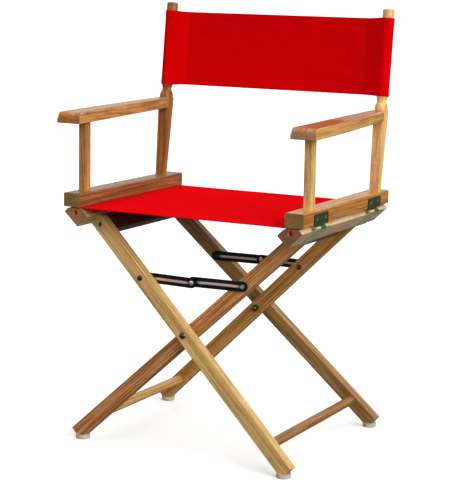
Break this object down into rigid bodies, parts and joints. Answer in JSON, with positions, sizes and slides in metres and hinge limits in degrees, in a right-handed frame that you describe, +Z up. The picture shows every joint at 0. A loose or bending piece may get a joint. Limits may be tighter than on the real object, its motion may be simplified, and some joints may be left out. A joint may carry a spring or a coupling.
{
  "type": "folding director chair",
  "caption": "Folding director chair with crossed hardwood legs, hinged arm frames, metal spreader links and a red canvas seat and back.",
  "frame": {"origin": "on the floor, under the middle of the overall box", "axes": "+Z up; the sitter faces -Y; +X is to the right in a front view"},
  "size_m": [0.5524, 0.4364, 0.8583],
  "materials": {
    "leg_wood": "honey stained hardwood, satin lacquer",
    "arm_wood": "honey stained hardwood, satin lacquer",
    "dowel_wood": "plain dowel",
    "glide_plastic": "milky nylon",
    "seat_canvas": "heavy woven canvas",
    "back_canvas": "heavy woven canvas",
    "hinge_metal": "dark bronze plating",
    "link_steel": "black nickel, glossy",
    "bright_metal": "plated steel"
  },
  "bodies": {
    "outer_frame": {"leg_outer_front": "leg_wood", "leg_outer_rear": "leg_wood", "stretcher_outer": "leg_wood", "glide_outer_front": "glide_plastic", "glide_outer_rear": "glide_plastic", "seat_rail_left": "leg_wood", "rail_bolts_left": "bright_metal", "seat_dowel_left": "dowel_wood", "seat_hem_left": "seat_canvas", "hinge_lower_left_front": "hinge_metal", "hinge_lower_left_rear": "hinge_metal", "hinge_screws_lower_left": "bright_metal", "link_bolt_outer_front": "bright_metal", "link_bolt_outer_rear": "bright_metal", "pivot_bolts": "bright_metal", "pivot_nuts": "bright_metal", "apron_left": "leg_wood"},
    "inner_frame": {"leg_inner_front": "leg_wood", "leg_inner_rear": "leg_wood", "stretcher_inner": "leg_wood", "glide_inner_front": "glide_plastic", "glide_inner_rear": "glide_plastic", "seat_rail_right": "leg_wood", "rail_bolts_right": "bright_metal", "seat_dowel_right": "dowel_wood", "seat_hem_right": "seat_canvas", "hinge_lower_right_front": "hinge_metal", "hinge_lower_right_rear": "hinge_metal", "hinge_screws_lower_right": "bright_metal", "link_bolt_inner_front": "bright_metal", "link_bolt_inner_rear": "bright_metal", "apron_right": "leg_wood"},
    "arm_left": {"base_rail_left": "arm_wood", "front_post_left": "arm_wood", "rear_post_left": "arm_wood", "armrest_left": "arm_wood", "post_screws_left": "bright_metal", "hinge_upper_left_front": "hinge_metal", "hinge_upper_left_rear": "hinge_metal", "hinge_screws_upper_left": "bright_metal"},
    "arm_right": {"base_rail_right": "arm_wood", "front_post_right": "arm_wood", "rear_post_right": "arm_wood", "armrest_right": "arm_wood", "post_screws_right": "bright_metal", "hinge_upper_right_front": "hinge_metal", "hinge_upper_right_rear": "hinge_metal", "hinge_screws_upper_right": "bright_metal"},
    "link_outer_front": {"link_outer_front": "link_steel", "link_rivet_outer_front": "bright_metal"},
    "link_inner_front": {"link_inner_front": "link_steel", "link_rivet_inner_front": "bright_metal"},
    "link_outer_rear": {"link_outer_rear": "link_steel", "link_rivet_outer_rear": "bright_metal"},
    "link_inner_rear": {"link_inner_rear": "link_steel", "link_rivet_inner_rear": "bright_metal"},
    "seat_left": {"seat_canvas_left": "seat_canvas"},
    "back_left": {"back_canvas_left": "back_canvas"},
    "seat_right": {"seat_canvas_right": "seat_canvas"},
    "back_right": {"back_canvas_right": "back_canvas"}
  },
  "joints": [
    {"name": "fold", "type": "hinge", "parent": "outer_frame", "child": "inner_frame", "pos_m": [0, 0, 0.2384], "axis": [0, -1, 0], "range_deg": [0, 83], "deforming": ["seat_canvas_left", "seat_canvas_right", "back_canvas_left", "back_canvas_right"]},
    {"name": "arm_left_hinge", "type": "hinge", "parent": "outer_frame", "child": "arm_left", "pos_m": [-0.261, 0, 0.465], "axis": [0, -1, 0], "range_deg": [0, 41.5]},
    {"name": "arm_right_hinge", "type": "hinge", "parent": "inner_frame", "child": "arm_right", "pos_m": [0.261, 0, 0.465], "axis": [0, 1, 0], "range_deg": [0, 41.5]},
    {"name": "link_outer_front_turn", "type": "hinge", "parent": "outer_frame", "child": "link_outer_front", "pos_m": [-0.10374, -0.15748, 0.33684], "axis": [0.0708, 0.9952, -0.0672], "range_deg": [0, 41.46]},
    {"name": "link_inner_front_turn", "type": "hinge", "parent": "inner_frame", "child": "link_inner_front", "pos_m": [0.10374, -0.12598, 0.33684], "axis": [0.0708, -0.9952, 0.0672], "range_deg": [0, 41.46]},
    {"name": "link_outer_rear_turn", "type": "hinge", "parent": "outer_frame", "child": "link_outer_rear", "pos_m": [-0.10374, 0.15748, 0.33684], "axis": [-0.0708, 0.9952, 0.0672], "range_deg": [0, 41.46]},
    {"name": "link_inner_rear_turn", "type": "hinge", "parent": "inner_frame", "child": "link_inner_rear", "pos_m": [0.10374, 0.12598, 0.33684], "axis": [-0.0708, -0.9952, -0.0672], "range_deg": [0, 41.46]},
    {"name": "seat_left_crease", "type": "hinge", "parent": "arm_left", "child": "seat_left", "pos_m": [-0.2184, 0, 0.4687], "axis": [0, -1, 0], "range_deg": [0, 89.53]},
    {"name": "seat_right_crease", "type": "hinge", "parent": "arm_right", "child": "seat_right", "pos_m": [0.2184, 0, 0.4687], "axis": [0, 1, 0], "range_deg": [0, 89.53]},
    {"name": "back_left_crease", "type": "hinge", "parent": "arm_left", "child": "back_left", "pos_m": [-0.246, 0.1786, 0.682], "axis": [0, 0.1149, 0.9934], "range_deg": [0, 83.14]},
    {"name": "back_right_crease", "type": "hinge", "parent": "arm_right", "child": "back_right", "pos_m": [0.246, 0.1786, 0.682], "axis": [0, -0.1149, -0.9934], "range_deg": [0, 83.14]}
  ],
  "couplings": [
    {"joint": "arm_left_hinge", "follows": "fold", "ratio": 0.5},
    {"joint": "arm_right_hinge", "follows": "fold", "ratio": 0.5},
    {"joint": "link_outer_front_turn", "follows": "fold", "ratio": 0.49947},
    {"joint": "link_inner_front_turn", "follows": "fold", "ratio": 0.49947},
    {"joint": "link_outer_rear_turn", "follows": "fold", "ratio": 0.49947},
    {"joint": "link_inner_rear_turn", "follows": "fold", "ratio": 0.49947},
    {"joint": "seat_left_crease", "follows": "fold", "ratio": 1.0787},
    {"joint": "seat_right_crease", "follows": "fold", "ratio": 1.0787},
    {"joint": "back_left_crease", "follows": "fold", "ratio": 1.0017},
    {"joint": "back_right_crease", "follows": "fold", "ratio": 1.0017}
  ]
}
